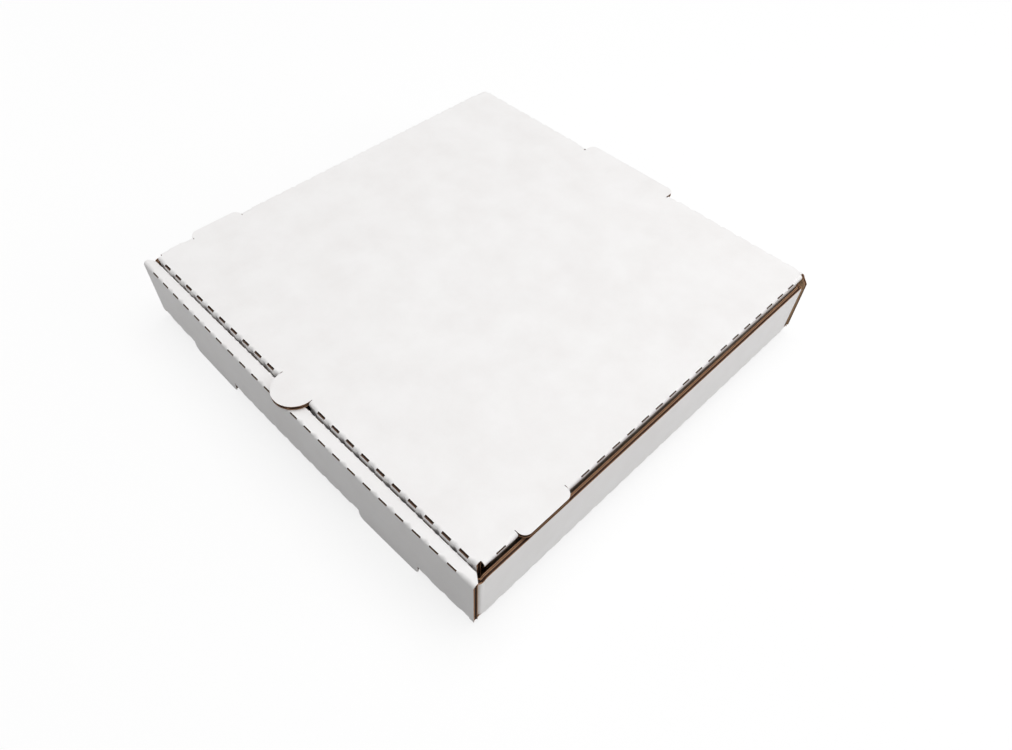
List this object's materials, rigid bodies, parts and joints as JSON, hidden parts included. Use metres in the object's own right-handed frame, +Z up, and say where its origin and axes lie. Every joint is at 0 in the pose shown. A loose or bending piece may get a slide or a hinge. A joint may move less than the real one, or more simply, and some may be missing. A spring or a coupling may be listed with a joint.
{
  "type": "pizza box",
  "caption": "Shallow square corrugated-board pizza box, folded from one sheet, with a hinged tuck-in lid, perforated folds, a half-round thumb tab and a rolled-over front wall.",
  "frame": {"origin": "middle of the bounding box in X and Y, at the level of the two feet below the front wall", "axes": "+X to the right along the front wall, +Y from the front wall to the lid's fold, +Z up"},
  "size_m": [0.312, 0.3174, 0.0528],
  "materials": {
    "lined_board": "matte white liner outside, brown flutes at the cut edges"
  },
  "bodies": {
    "tray": {"tray": "lined_board"},
    "lid": {"lid": "lined_board"}
  },
  "joints": [
    {"name": "lid_hinge", "type": "hinge", "parent": "tray", "child": "lid", "pos_m": [0, 0.1508, 0.0514], "axis": [-1, 0, 0], "range_deg": [0, 180]}
  ]
}
